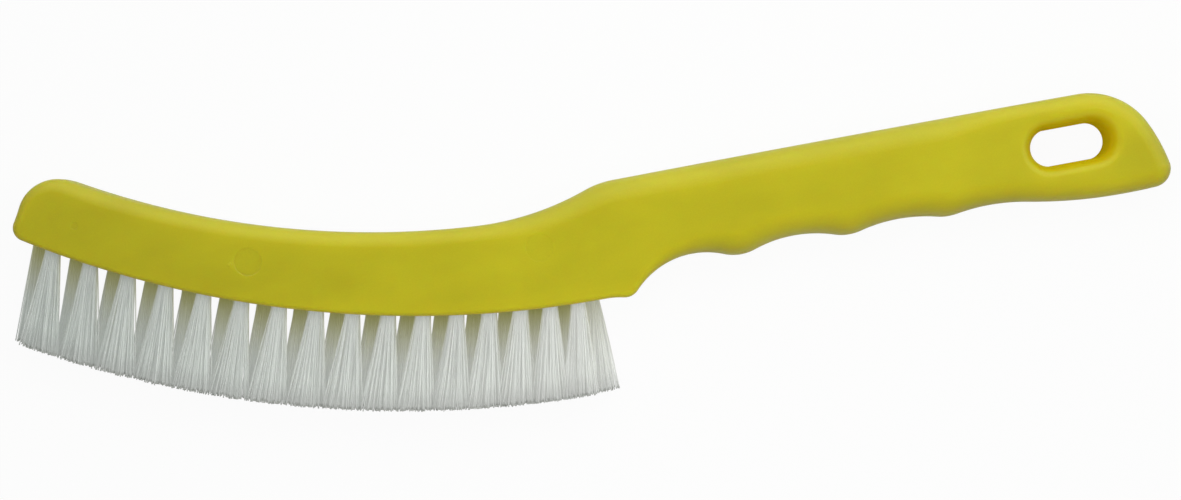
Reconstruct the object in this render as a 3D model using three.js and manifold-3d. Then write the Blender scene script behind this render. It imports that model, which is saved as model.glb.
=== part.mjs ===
// Hand brush for cleaning bicycles. One moulded plastic handle carries a bowed head with two staggered rows of
// bristle tufts. Each tuft is folded over a flat wire anchor that bites into the wall of its hole.
// Millimetres. The brush lies on its flat side: X runs along the grip towards the hanging end, Y points away from
// the bristles, Z is up, and the origin is the middle of the underside of the bounding box.

import * as THREE from "three";
import { mergeVertices } from "three/addons/utils/BufferGeometryUtils.js";
import Module from "manifold-3d";

// Handle seen from its side: x is measured along the grip and y square to it, both from the heel of the head
const BODY_WIDTH = 20; // between the two flat sides
const FACE_RADIUS = 263; // bow of the face that holds the bristles, level with the grip at the heel
const FACE_LENGTH = 151.5; // along that bow, from the heel to the sharp corner at the toe
const HEAD_DEPTH = 23.2; // back of the head above the heel, where it is lowest
const BACK_LOW_X = -14.5; // where that is
const TOE_DEPTH = 17.9; // back of the head above the face at the toe
const TOE_RAKE = 3.4; // degrees that the end of the toe is turned from square to the face
const TOE_HOLLOW = 39; // radius of the shallow hollow in that end
const TOE_NOSE = 9.7; // corner radius between toe and back
const TOE_LIP = 3.4; // corner radius between toe and face
const HEEL_REACH = 5.2; // middle of the rounded heel corner, along the grip
const HEEL_FOOT = 0.6; // that corner below the face
const HEEL_BLEND = 20; // radius of the hollow between the face and that corner
const HEEL_CORNER = 3.9; // its radius
const SHOULDER_RISE = 5.8; // back of the grip above the back of the head
const GRIP_BOW = 9000; // radius of the faint bow in the back of the grip
const GRIP_BOW_X = 65; // highest place of that bow
const SHOULDER_X = 6.7; // where the back of the grip starts to fall towards the head
const SHOULDER_RADIUS = 21.7;
const NECK_RADIUS = 72; // hollow between shoulder and head
const GRIP_HEIGHT = 24.25; // from the back of the grip to the crests between the fingers
const CREST_PLACES = [35.3, 62.9, 88.2]; // along the grip
const CREST_RADIUS = 11;
const GROOVE_RADII = [21, 32.5, 40.5, 52]; // finger grooves before, between and after the crests
const END_REACH = 144.8; // hanging end beyond the heel
const BELLY_INSET = 12.4; // lowest place of the grip, before its end
const BELLY_DROP = 2.4; // that place below the crests
const BELLY_RADIUS = 124;
const END_BOW = 41; // radius of the bowed end
const END_BOW_Y = 0.6; // height of the middle of that bow
const END_NOSE = 18; // corner radius between end and back
const TAIL_CORNER = 4.7; // corner radius between belly and end

// Rounding of the long edges, where the side view's outline meets the flat sides
const FACE_EDGE = 1.2;
const FINGER_EDGE = 6;
const END_EDGE = 4.5; // of the belly before the hanging end too
const TAIL_BACK_EDGE = 3.8;
const TAIL_BACK_INSET = 47.8; // where the rounding of the back narrows, before the hanging end
const GRIP_BACK_EDGE = 6;
const HEAD_BACK_EDGE = 4;
const TOE_EDGE = 2.2;
const EDGE_BLEND = 12; // length over which one rounding flows into the next
const EDGE_SHARE = 0.85; // most of a corner's radius that a rounding takes up
const EDGE_STEPS = 4;

// Slot for hanging the brush up
const SLOT_INSET = 24.2; // middle of the slot before the hanging end
const SLOT_DROP = 12.1; // middle of the slot below the back of the grip
const SLOT_LENGTH = 20; // at its waist, where it is narrowest
const SLOT_WIDTH = 9.2; // there too
const SLOT_LIP = 3.6; // how much it widens to either flat side
const SLOT_WAIST = 10; // straight part of its wall between the two lips
const SLOT_SHARE = 0.97; // most of the room beside the slot that its lip takes up

// Tufts: the lower row has one more than the upper and stands half a pitch out of step with it
const UPPER_TUFTS = 16;
const ROW_LAND = 6; // plastic between the holes of the two rows, across the brush
const HEEL_MARGIN = 7.1; // along the face from the heel to the first upper tuft
const TOE_MARGIN = 11.3; // along the face from the last upper tuft to the corner at the toe
const PITCH_RATIO = 0.7; // pitch at the heel as a share of the pitch at the toe
const HEEL_TUFT_LEAN = 8; // degrees that the tufts lean towards the toe, from square to the grip
const TOE_TUFT_LEAN = 17;
const LEAN_SETTLING = 4; // power with which the lean settles towards the toe
const HOLE_DIAMETER = 4;
const HOLE_DEPTH = 11;
const HEEL_TRIM = 22.9; // trimmed tips below the face at the heel
const TOE_TRIM = 24.5; // and at the toe
const STRAND_RINGS = [
  { share: 0, count: 1 },
  { share: 0.5, count: 3 },
  { share: 1, count: 6 },
]; // strands of a tuft: rings as shares of its spread
const STRAND_RADIUS = 0.45;
const STRAND_SIDES = 3;
const TIP_SPREAD = 4.4; // most that the outer ring fans out at the tips
const TIP_GAP = 0.9; // least distance between the outer strands of neighbouring tufts at the tips

// Flat wire anchors
const ANCHOR_THICKNESS = 0.5;
const ANCHOR_HEIGHT = 2;
const ANCHOR_BITE = 0.45; // how far each end reaches into the wall of the hole
const ANCHOR_SEAT = 1.2; // folded bristle between the anchor and the bottom of the hole

// Each row of strands grows from a thin slice of the head, which lies flush in a groove of the face
const SLICE_DEPTH = 2;
const SLICE_MARGIN = 0.5; // slice beyond the holes
const FIT_GAP = 0.3; // clearance between pieces that touch
const CUT_OVER = 2; // how far a cutter reaches out of the surface it enters
const ROOT_SINK = 0.6; // how far a strand in the middle of its tuft reaches into the slice
const HOLE_SIDES = 8;
const CHORD_ERROR = 0.06; // most that a chord strays from its arc
const WELD_DISTANCE = 1e-4; // corners closer than this are one

const HANDLE_COLOUR = "#b8b02c";
const BRISTLE_COLOUR = "#cdd0ca";
const STEEL_COLOUR = "#a9adb0";

const wasm = await Module();
wasm.setup();

// Turns a closed geometry into a solid that can be joined and cut, and back
function solidOf(geometry) {
  const bare = geometry.clone();
  bare.deleteAttribute("normal");
  bare.deleteAttribute("uv");
  const merged = mergeVertices(bare, WELD_DISTANCE);
  const vertProperties = new Float32Array(merged.attributes.position.array);
  const triVerts = new Uint32Array(merged.index.array);
  return new wasm.Manifold(new wasm.Mesh({ numProp: 3, vertProperties, triVerts }));
}

function geometryOf(solid) {
  const mesh = solid.getMesh();
  const geometry = new THREE.BufferGeometry();
  geometry.setAttribute("position", new THREE.BufferAttribute(mesh.vertProperties, 3));
  geometry.setIndex(new THREE.BufferAttribute(mesh.triVerts, 1));
  geometry.computeVertexNormals();
  return geometry;
}

const joined = (solids) => wasm.Manifold.union(solids);

// Legs of the outline, which are all arcs. Walking along one keeps the plastic on the left; turn is 1 where it
// bends to the left and -1 where it bends to the right.
const arcLeg = (x, y, radius, turn, edge) => ({ centre: new THREE.Vector2(x, y), radius, turn, edge });

// An arc that touches a leg from inside, at that angle about the middle of the leg, and goes on from there
function arcInside(leg, angle, radius) {
  const way = new THREE.Vector2(Math.cos(angle), Math.sin(angle));
  const centre = leg.centre.clone().addScaledVector(way, leg.radius - radius);
  const joint = leg.centre.clone().addScaledVector(way, leg.radius);
  return { ...leg, centre, radius, joint };
}

// The same leg, moved to its left
const movedLeft = (leg, distance) => ({ ...leg, radius: leg.radius - leg.turn * distance });

// The two points where a pair of legs cross
function crossings(a, b) {
  const between = b.centre.clone().sub(a.centre);
  const distance = between.length();
  const towards = between.divideScalar(distance);
  const left = new THREE.Vector2(-towards.y, towards.x);
  const reach = (distance * distance + a.radius * a.radius - b.radius * b.radius) / (2 * distance);
  const half = Math.sqrt(a.radius * a.radius - reach * reach);
  const middle = a.centre.clone().addScaledVector(towards, reach);
  return [-half, half].map((t) => middle.clone().addScaledVector(left, t));
}

const nearest = (points, place) => points.sort((p, q) => p.distanceTo(place) - q.distanceTo(place))[0];

// Where a leg touches a round corner
const touchPoint = (leg, corner) =>
  corner.centre.clone().sub(leg.centre).setLength(leg.radius).add(leg.centre);

// Points along an arc with their inward normals
function arcSamples(arc, from, to, edgeFrom, edgeTo) {
  const start = from.clone().sub(arc.centre).angle();
  const end = to.clone().sub(arc.centre).angle();
  const sweep = THREE.MathUtils.euclideanModulo((end - start) * arc.turn, 2 * Math.PI);
  const longest = Math.min(Math.sqrt(8 * arc.radius * CHORD_ERROR), EDGE_BLEND / 2);
  const steps = Math.ceil((sweep * arc.radius) / longest);
  const limit = arc.turn > 0 ? EDGE_SHARE * arc.radius : Infinity;
  return Array.from({ length: steps }, (_, i) => {
    const angle = start + (arc.turn * sweep * i) / steps;
    const outward = new THREE.Vector2(Math.cos(angle), Math.sin(angle));
    const edge = Math.min(limit, THREE.MathUtils.lerp(edgeFrom, edgeTo, i / steps));
    return {
      point: outward.clone().multiplyScalar(arc.radius).add(arc.centre),
      inward: outward.multiplyScalar(-arc.turn),
      edge,
      limit,
    };
  });
}

// Lets the rounding of the edges flow along the outline instead of jumping from leg to leg
function blendEdges(samples) {
  const weights = samples.map((s, i) => s.point.distanceTo(samples[(i + 1) % samples.length].point));
  return samples.map((sample, i) => {
    let total = sample.edge * weights[i];
    let length = weights[i];
    for (const way of [1, -1]) {
      let gone = 0;
      for (let j = 1; gone < EDGE_BLEND / 2; j += 1) {
        const k = (i + way * j + samples.length) % samples.length;
        total += samples[k].edge * weights[k];
        length += weights[k];
        gone += weights[k];
      }
    }
    return { ...sample, edge: Math.min(sample.limit, total / length) };
  });
}

// Places along the face, measured from the heel
const faceAngle = (along) => along / FACE_RADIUS;
const facePoint = (along) =>
  new THREE.Vector2(-FACE_RADIUS * Math.sin(faceAngle(along)), FACE_RADIUS * (1 - Math.cos(faceAngle(along))));

const gripTop = HEAD_DEPTH + SHOULDER_RISE;
const crestY = gripTop - GRIP_HEIGHT;
const face = arcLeg(0, FACE_RADIUS, FACE_RADIUS, 1, FACE_EDGE);
const toeCorner = facePoint(FACE_LENGTH);
const toeBack = toeCorner.clone().lerp(face.centre, TOE_DEPTH / FACE_RADIUS);
const heel = arcLeg(HEEL_REACH, HEEL_CORNER - HEEL_FOOT, HEEL_CORNER, 1, FACE_EDGE);
const crests = CREST_PLACES.map((x) => arcLeg(x, crestY + CREST_RADIUS, CREST_RADIUS, 1, FINGER_EDGE));
const belly = arcLeg(
  END_REACH - BELLY_INSET,
  crestY - BELLY_DROP + BELLY_RADIUS,
  BELLY_RADIUS,
  1,
  END_EDGE,
);
const end = arcLeg(END_REACH - END_BOW, END_BOW_Y, END_BOW, 1, END_EDGE);
const gripBack = arcLeg(GRIP_BOW_X, gripTop - GRIP_BOW, GRIP_BOW, 1, GRIP_BACK_EDGE);
const backAngle = (x) => Math.acos((x - GRIP_BOW_X) / GRIP_BOW);
const tailBack = {
  ...arcInside(gripBack, backAngle(END_REACH - TAIL_BACK_INSET), GRIP_BOW),
  edge: TAIL_BACK_EDGE,
};
const shoulder = arcInside(gripBack, backAngle(SHOULDER_X), SHOULDER_RADIUS);
const backLow = new THREE.Vector2(BACK_LOW_X, HEAD_DEPTH);
const backRadius = toeBack.distanceToSquared(backLow) / (2 * (toeBack.y - HEAD_DEPTH));
const headBack = arcLeg(BACK_LOW_X, HEAD_DEPTH + backRadius, backRadius, -1, HEAD_BACK_EDGE);
const toeLean = faceAngle(FACE_LENGTH) + THREE.MathUtils.degToRad(TOE_RAKE);
const toe = arcLeg(
  toeCorner.x - TOE_HOLLOW * Math.cos(toeLean),
  toeCorner.y + TOE_HOLLOW * Math.sin(toeLean),
  TOE_HOLLOW,
  -1,
  TOE_EDGE,
);

// Round corners and hollows between one leg and the next: radius, turn and a place near their middle
const roundCorner = (radius, turn, x, y) => ({ radius, turn, near: new THREE.Vector2(x, y) });
const bumps = [heel, ...crests, belly];
const grooves = GROOVE_RADII.map((radius, i) => {
  const x = (bumps[i].centre.x + bumps[i + 1].centre.x) / 2;
  return roundCorner(radius, -1, x, crestY - radius);
});
const legs = [face, ...bumps, end, tailBack, gripBack, shoulder, headBack, toe];
const corners = [
  roundCorner(HEEL_BLEND, -1, 0, -HEEL_BLEND),
  ...grooves,
  roundCorner(TAIL_CORNER, 1, END_REACH, crestY - BELLY_DROP),
  roundCorner(END_NOSE, 1, END_REACH - END_NOSE, gripTop - END_NOSE),
  { joint: tailBack.joint },
  { joint: shoulder.joint },
  roundCorner(NECK_RADIUS, -1, BACK_LOW_X, HEAD_DEPTH + NECK_RADIUS),
  roundCorner(TOE_NOSE, 1, toeBack.x, toeBack.y),
  roundCorner(TOE_LIP, 1, toeCorner.x, toeCorner.y),
];

function handleOutline() {
  const entries = [];
  const exits = [];
  corners.forEach((corner, i) => {
    const next = (i + 1) % legs.length;
    if (corner.joint) {
      exits[i] = corner.joint;
      entries[next] = corner.joint;
      return;
    }
    const inset = corner.turn * corner.radius;
    corner.centre = nearest(crossings(movedLeft(legs[i], inset), movedLeft(legs[next], inset)), corner.near);
    exits[i] = touchPoint(legs[i], corner);
    entries[next] = touchPoint(legs[next], corner);
  });
  const samples = legs.flatMap((leg, i) => {
    const next = (i + 1) % legs.length;
    const run = arcSamples(leg, entries[i], exits[i], leg.edge, leg.edge);
    if (corners[i].joint) return run;
    return [...run, ...arcSamples(corners[i], exits[i], entries[next], leg.edge, legs[next].edge)];
  });
  return blendEdges(samples);
}

// The slot's outline runs the other way round, so that the plastic is on its left too. Its lip is limited by the
// room that the rounded edges of the handle leave.
function slotOutline(handle) {
  const x = END_REACH - SLOT_INSET;
  const y = gripTop - SLOT_DROP;
  const radius = SLOT_WIDTH / 2;
  const half = SLOT_LENGTH / 2 - radius;
  const spine = new THREE.Line3(new THREE.Vector3(x - half, y, 0), new THREE.Vector3(x + half, y, 0));
  const room = handle.map(({ point, edge }) => {
    const place = new THREE.Vector3(point.x, point.y, 0);
    const beside = spine.closestPointToPoint(place, true, new THREE.Vector3());
    return beside.distanceTo(place) - radius - edge;
  });
  const lip = Math.min(SLOT_LIP, SLOT_SHARE * Math.min(...room));
  const depth = (BODY_WIDTH - SLOT_WAIST) / 2;
  return [1, -1].flatMap((side) => {
    const round = arcLeg(x + side * half, y, radius, -1, lip);
    const from = new THREE.Vector2(round.centre.x, y + side * radius);
    const to = new THREE.Vector2(round.centre.x, y - side * radius);
    const stop = { point: to, inward: new THREE.Vector2(0, -side), edge: lip };
    return [...arcSamples(round, from, to, lip, lip), stop].map((sample) => ({ ...sample, depth }));
  });
}

// Slab between two flat sides, with rounded edges along its outer outline. The edges of its slot are deeper than
// they are wide.
function roundedSlab(outlines, width) {
  const positions = [];
  const indices = [];
  const quarter = Array.from({ length: EDGE_STEPS + 1 }, (_, k) => (Math.PI / 2) * (1 - k / EDGE_STEPS));
  const levels = [...quarter.map((angle) => [angle, 1]), ...quarter.toReversed().map((angle) => [angle, -1])];
  const caps = [[], []];
  for (const outline of outlines) {
    const first = positions.length / 3;
    const count = outline.length;
    for (const [angle, side] of levels) {
      for (const { point, inward, edge, depth = edge } of outline) {
        const p = point.clone().addScaledVector(inward, edge * (1 - Math.cos(angle)));
        positions.push(p.x, p.y, side * (width / 2 - depth + depth * Math.sin(angle)));
      }
    }
    for (let level = 0; level + 1 < levels.length; level += 1) {
      for (let i = 0; i < count; i += 1) {
        const a = first + level * count + i;
        const b = first + level * count + ((i + 1) % count);
        indices.push(a + count, b + count, b, a + count, b, a);
      }
    }
    const last = first + (levels.length - 1) * count;
    caps[0].push(Array.from({ length: count }, (_, i) => first + i));
    caps[1].push(Array.from({ length: count }, (_, i) => last + i));
  }
  caps.forEach((loops, side) => {
    const flat = (i) => new THREE.Vector2(positions[3 * i], positions[3 * i + 1]);
    const [contour, ...holes] = loops.map((loop) => loop.map(flat));
    const order = loops.flat();
    for (const [a, b, c] of THREE.ShapeUtils.triangulateShape(contour, holes)) {
      const triangle = [order[a], order[b], order[c]];
      indices.push(...(side === 0 ? triangle : triangle.toReversed()));
    }
  });
  const geometry = new THREE.BufferGeometry();
  geometry.setAttribute("position", new THREE.Float32BufferAttribute(positions, 3));
  geometry.setIndex(indices);
  return geometry;
}

// Bow of the trimmed tips, whose middle lies a little beside that of the face, so that the trim changes evenly
const tipRadius = FACE_RADIUS + HEEL_TRIM;
const tipBow = new THREE.Vector2((HEEL_TRIM - TOE_TRIM) / Math.sin(faceAngle(FACE_LENGTH)), FACE_RADIUS);

// Distance along the face of a tuft, whose pitch widens smoothly from the heel to the toe
function tuftPlace(step) {
  const steps = UPPER_TUFTS - 1;
  const narrowing = 1 - PITCH_RATIO;
  const u = step / steps;
  const share = (u - (narrowing * (1 - (1 - u) ** 3)) / 3) / (1 - narrowing / 3);
  return THREE.MathUtils.lerp(HEEL_MARGIN, FACE_LENGTH - TOE_MARGIN, share);
}

// How far a line from a point runs before it meets the bow of the trimmed tips
function reachToTips(x, y, direction) {
  const offset = new THREE.Vector2(x, y).sub(tipBow);
  const slope = offset.x * direction.x + offset.y * direction.y;
  const flat = direction.x * direction.x + direction.y * direction.y;
  const rest = offset.lengthSq() - tipRadius * tipRadius;
  return (-slope + Math.sqrt(slope * slope - flat * rest)) / flat;
}

// A tuft: the mouth of its hole, the way its bristles point and the middle of its tips
function tuftAt(step, z) {
  const along = tuftPlace(step);
  const mouth = facePoint(along);
  const toToe = (1 - along / FACE_LENGTH) ** LEAN_SETTLING;
  const lean = THREE.MathUtils.degToRad(THREE.MathUtils.lerp(TOE_TUFT_LEAN, HEEL_TUFT_LEAN, toToe));
  const out = new THREE.Vector3(-Math.sin(lean), -Math.cos(lean), 0);
  const side = new THREE.Vector3(Math.cos(lean), -Math.sin(lean), 0);
  const root = new THREE.Vector3(mouth.x, mouth.y, z);
  const tip = root.clone().addScaledVector(out, reachToTips(mouth.x, mouth.y, out));
  return { along, lean, out, side, root, tip };
}

const rowSpacing = HOLE_DIAMETER + ROW_LAND;
const rows = [
  { name: "upper", z: rowSpacing / 2, count: UPPER_TUFTS, firstStep: 0 },
  { name: "lower", z: -rowSpacing / 2, count: UPPER_TUFTS + 1, firstStep: -0.5 },
].map((row) => ({
  ...row,
  tufts: Array.from({ length: row.count }, (_, i) => tuftAt(row.firstStep + i, row.z)),
}));

// Moves a geometry made along Y to a place in a tuft: depth is measured from the face into the head
function intoTuft(geometry, tuft, depth) {
  const place = tuft.root.clone().addScaledVector(tuft.out, -depth);
  const turn = new THREE.Matrix4().makeRotationZ(-tuft.lean);
  return geometry.applyMatrix4(turn.setPosition(place));
}

const anchorDepth = HOLE_DEPTH - FIT_GAP - ANCHOR_SEAT - ANCHOR_HEIGHT / 2;
const anchorLength = HOLE_DIAMETER + 2 * ANCHOR_BITE;

function roundRod(radius, fromDepth, toDepth, tuft) {
  const rod = new THREE.CylinderGeometry(radius, radius, toDepth - fromDepth, HOLE_SIDES);
  return solidOf(intoTuft(rod, tuft, (fromDepth + toDepth) / 2));
}

// Room for the anchor, which is as long as asked
function anchorRoom(length, tuft) {
  const room = new THREE.BoxGeometry(ANCHOR_THICKNESS + 2 * FIT_GAP, ANCHOR_HEIGHT + 2 * FIT_GAP, length);
  return solidOf(intoTuft(room, tuft, anchorDepth));
}

// Bowed strip of the head under the face, along one row
function faceStrip(row, depth, over, margin) {
  const half = HOLE_DIAMETER / 2 + margin;
  const heelEnd = -Math.PI / 2 - faceAngle(row.tufts[0].along - half);
  const toeEnd = -Math.PI / 2 - faceAngle(row.tufts.at(-1).along + half);
  const shape = new THREE.Shape();
  shape.absarc(0, FACE_RADIUS, FACE_RADIUS + over, toeEnd, heelEnd, false);
  shape.absarc(0, FACE_RADIUS, FACE_RADIUS - depth, heelEnd, toeEnd, true);
  const curveSegments = Math.ceil(FACE_LENGTH / Math.sqrt(8 * FACE_RADIUS * CHORD_ERROR));
  const strip = new THREE.ExtrudeGeometry(shape, { depth: 2 * half, bevelEnabled: false, curveSegments });
  return solidOf(strip.translate(0, 0, row.z - half));
}

function makeHandle() {
  const outline = handleOutline();
  const slab = solidOf(roundedSlab([outline, slotOutline(outline)], BODY_WIDTH));
  const cutters = rows.flatMap((row) => [
    faceStrip(row, SLICE_DEPTH + FIT_GAP, CUT_OVER, SLICE_MARGIN + FIT_GAP),
    ...row.tufts.map((tuft) => roundRod(HOLE_DIAMETER / 2, 0, HOLE_DEPTH, tuft)),
    ...row.tufts.map((tuft) => anchorRoom(anchorLength + 2 * FIT_GAP, tuft)),
  ]);
  return geometryOf(slab.subtract(joined(cutters)));
}

// How far the strands of a tuft may fan out along the row before they meet the next tuft
function tipSpread(tufts, i) {
  const spaces = [tufts[i - 1], tufts[i + 1]]
    .filter((other) => other)
    .map((other) => Math.abs(other.tip.clone().sub(tufts[i].tip).dot(tufts[i].side)));
  return Math.min(TIP_SPREAD, (Math.min(...spaces) - TIP_GAP) / 2);
}

// One strand from inside its slice to the trimmed tips. The face slants across the tuft, so strands at the tuft's
// rim start deeper.
function strand(tuft, along, across, fanAlong, fanAcross) {
  const z = new THREE.Vector3(0, 0, 1);
  const rootSpread = HOLE_DIAMETER / 2 - STRAND_RADIUS;
  const root = tuft.root.clone().addScaledVector(tuft.side, along * rootSpread);
  root.addScaledVector(z, across * rootSpread);
  const tip = tuft.tip.clone().addScaledVector(tuft.side, along * fanAlong);
  tip.addScaledVector(z, across * fanAcross);
  const direction = tip.clone().sub(root).normalize();
  root.addScaledVector(direction, -ROOT_SINK * (1 + Math.abs(along)));
  const length = reachToTips(root.x, root.y, direction);
  const rod = new THREE.CylinderGeometry(STRAND_RADIUS, STRAND_RADIUS, length, STRAND_SIDES);
  const turn = new THREE.Quaternion().setFromUnitVectors(new THREE.Vector3(0, 1, 0), direction);
  const place = new THREE.Matrix4().makeRotationFromQuaternion(turn);
  place.setPosition(root.addScaledVector(direction, length / 2));
  return solidOf(rod.applyMatrix4(place));
}

function tuftStrands(tufts, i) {
  const fanAlong = tipSpread(tufts, i);
  const fanAcross = Math.min(TIP_SPREAD, (rowSpacing - TIP_GAP) / 2);
  return STRAND_RINGS.flatMap(({ share, count }) =>
    Array.from({ length: count }, (_, k) => {
      const angle = (2 * Math.PI * (k + 0.5)) / count;
      return strand(tufts[i], share * Math.cos(angle), share * Math.sin(angle), fanAlong, fanAcross);
    }),
  );
}

// A row of bristles: the strands, their folded ends in the holes and the slice that they grow from
function makeBristleRow(row) {
  const plugRadius = HOLE_DIAMETER / 2 - FIT_GAP;
  const solids = [
    faceStrip(row, SLICE_DEPTH, 0, SLICE_MARGIN),
    ...row.tufts.map((tuft) => roundRod(plugRadius, SLICE_DEPTH / 2, HOLE_DEPTH - FIT_GAP, tuft)),
    ...row.tufts.flatMap((_, i) => tuftStrands(row.tufts, i)),
  ];
  const windows = row.tufts.map((tuft) => anchorRoom(anchorLength, tuft));
  return geometryOf(joined(solids).subtract(joined(windows)));
}

const plastic = (color) => new THREE.MeshStandardMaterial({ color, roughness: 0.5, metalness: 0 });
const handleMaterial = plastic(HANDLE_COLOUR);
const bristleMaterial = plastic(BRISTLE_COLOUR);
const anchorMaterial = new THREE.MeshStandardMaterial({ color: STEEL_COLOUR, roughness: 0.35, metalness: 1 });

function namedMesh(name, geometry, material) {
  const mesh = new THREE.Mesh(geometry, material);
  mesh.name = name;
  return mesh;
}

function makeAnchor(row, tuft, i) {
  const wire = new THREE.BoxGeometry(ANCHOR_THICKNESS, ANCHOR_HEIGHT, anchorLength);
  const anchor = namedMesh(`anchor_${row.name}_${String(i + 1).padStart(2, "0")}`, wire, anchorMaterial);
  anchor.rotation.z = -tuft.lean;
  anchor.position.copy(tuft.root).addScaledVector(tuft.out, -anchorDepth);
  return anchor;
}

const brush = new THREE.Group();
brush.add(namedMesh("handle", makeHandle(), handleMaterial));
for (const row of rows) {
  brush.add(namedMesh(`bristles_${row.name}`, makeBristleRow(row), bristleMaterial));
  brush.add(...row.tufts.map((tuft, i) => makeAnchor(row, tuft, i)));
}

const box = new THREE.Box3().setFromObject(brush);
const middle = box.getCenter(new THREE.Vector3());
brush.position.set(-middle.x, -middle.y, -box.min.z);

const part = new THREE.Group();
part.add(brush);

export default part;
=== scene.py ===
"""A hand brush for cleaning bicycles: one moulded plastic handle, whose bowed head holds two staggered
rows of nylon tufts, each over a flat wire anchor. Metres. The brush lies on its flat side: X runs along
the grip towards the hanging end, Y points away from the bristles and Z is up."""

import cmath
import math
from dataclasses import dataclass, replace

import bpy
import numpy as np
from bpy.props import FloatProperty, FloatVectorProperty, IntProperty, PointerProperty
from bpy.types import Operator, Panel, PropertyGroup
from mathutils.geometry import delaunay_2d_cdt
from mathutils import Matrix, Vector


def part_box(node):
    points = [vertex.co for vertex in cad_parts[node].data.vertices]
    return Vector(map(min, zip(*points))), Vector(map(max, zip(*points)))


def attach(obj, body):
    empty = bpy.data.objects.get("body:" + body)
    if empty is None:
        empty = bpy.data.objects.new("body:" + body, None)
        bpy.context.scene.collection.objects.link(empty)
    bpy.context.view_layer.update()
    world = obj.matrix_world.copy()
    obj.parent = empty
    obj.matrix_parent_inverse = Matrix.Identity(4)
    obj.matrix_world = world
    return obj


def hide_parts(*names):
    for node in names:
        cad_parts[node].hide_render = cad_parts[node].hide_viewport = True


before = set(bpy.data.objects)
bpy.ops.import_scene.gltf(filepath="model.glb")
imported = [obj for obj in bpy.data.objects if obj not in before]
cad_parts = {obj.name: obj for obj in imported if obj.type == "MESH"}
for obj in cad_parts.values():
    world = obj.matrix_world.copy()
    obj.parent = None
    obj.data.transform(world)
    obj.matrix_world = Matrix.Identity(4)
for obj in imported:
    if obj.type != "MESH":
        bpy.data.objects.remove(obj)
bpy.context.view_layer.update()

bl_info = {
    "name": "Bicycle Cleaning Brush",
    "version": (1, 0, 0),
    "blender": (4, 5, 0),
    "location": "View3D > Sidebar > Brush",
    "description": "Moulds the handle, sets the tufts and lights a bicycle cleaning brush",
    "category": "Mesh",
}

HANDLE_LOW, HANDLE_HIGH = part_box("handle")
MM = 0.001
BODY = "root"

# Side view of the handle: x along the grip and y square to it, both from the heel of the head
BACK_LOW_X = -14.5 * MM  # where the back of the head is lowest
TOE_RAKE = math.radians(3.4)  # the end of the toe, turned from square to the face
TOE_HOLLOW = 39 * MM
TOE_NOSE = 9.7 * MM
TOE_LIP = 3.4 * MM
HEEL_REACH = 5.2 * MM
HEEL_FOOT = 0.6 * MM
HEEL_BLEND = 20 * MM
HEEL_CORNER = 3.9 * MM
GRIP_BOW = 9000 * MM  # the back of the grip is all but straight
GRIP_BOW_X = 65 * MM
SHOULDER_X = 6.7 * MM
SHOULDER_RADIUS = 21.7 * MM
NECK_RADIUS = 72 * MM
CREST_PLACES = (35.3 * MM, 62.9 * MM, 88.2 * MM)  # crests between the fingers
CREST_RADIUS = 11 * MM
GROOVE_RADII = (21 * MM, 32.5 * MM, 40.5 * MM, 52 * MM)
BELLY_INSET = 12.4 * MM
BELLY_DROP = 2.4 * MM
BELLY_RADIUS = 124 * MM
END_BOW = 41 * MM
END_BOW_Y = 0.6 * MM
END_NOSE = 18 * MM
TAIL_CORNER = 4.7 * MM
SLOT_INSET = 24.2 * MM
SLOT_DROP = 12.1 * MM
SLOT_WAIST = 10 * MM  # straight stretch at the narrowest place of the slot
SLOT_SHARE = 0.97  # most of the room beside the slot that its lip takes up

# Rounding of the long edges
FACE_EDGE = 1.2 * MM
FINGER_EDGE = 6 * MM
END_EDGE = 4.5 * MM  # of the belly before the hanging end too
TAIL_BACK_EDGE = 3.8 * MM
TAIL_BACK_INSET = 47.8 * MM
GRIP_BACK_EDGE = 6 * MM
HEAD_BACK_EDGE = 4 * MM
TOE_EDGE = 2.2 * MM
EDGE_BLEND = 12 * MM  # length over which one rounding flows into the next
EDGE_SHARE = 0.85  # most of a corner's radius that a rounding takes up
EDGE_STEPS = 8

# Fineness of the handle's surface
CHORD_ERROR = 0.004 * MM
LONGEST_STEP = 1.2 * MM
HOLE_SIDES = 24
MARK_SIDES = 40
FILL_INSIDE = 1  # the kind of triangulation that leaves out what is beyond the outermost edges
FILL_ERROR = 1e-9

# Marks that the mould leaves on the upper side: place in the side view, radius and depth
MOULD_MARKS = (
    (complex(-126.5, 41.7) * MM, 1.0 * MM, 0.1 * MM),  # gate
    (complex(-85.8, 25.1) * MM, 3.5 * MM, 0.18 * MM),  # ejector pins
    (complex(-14.0, 15.4) * MM, 3.5 * MM, 0.06 * MM),
    (complex(-90.3, 25.2) * MM, 0.5 * MM, -0.15 * MM),  # a grain of flash beside the pin
)
MARK_WALL = 0.3 * MM
HOLE_CHAMFER = 0.2 * MM
RIDGE_WIDTH = 0.4 * MM  # where the two halves of the mould meet
RIDGE_HEIGHT = 0.07 * MM

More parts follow.
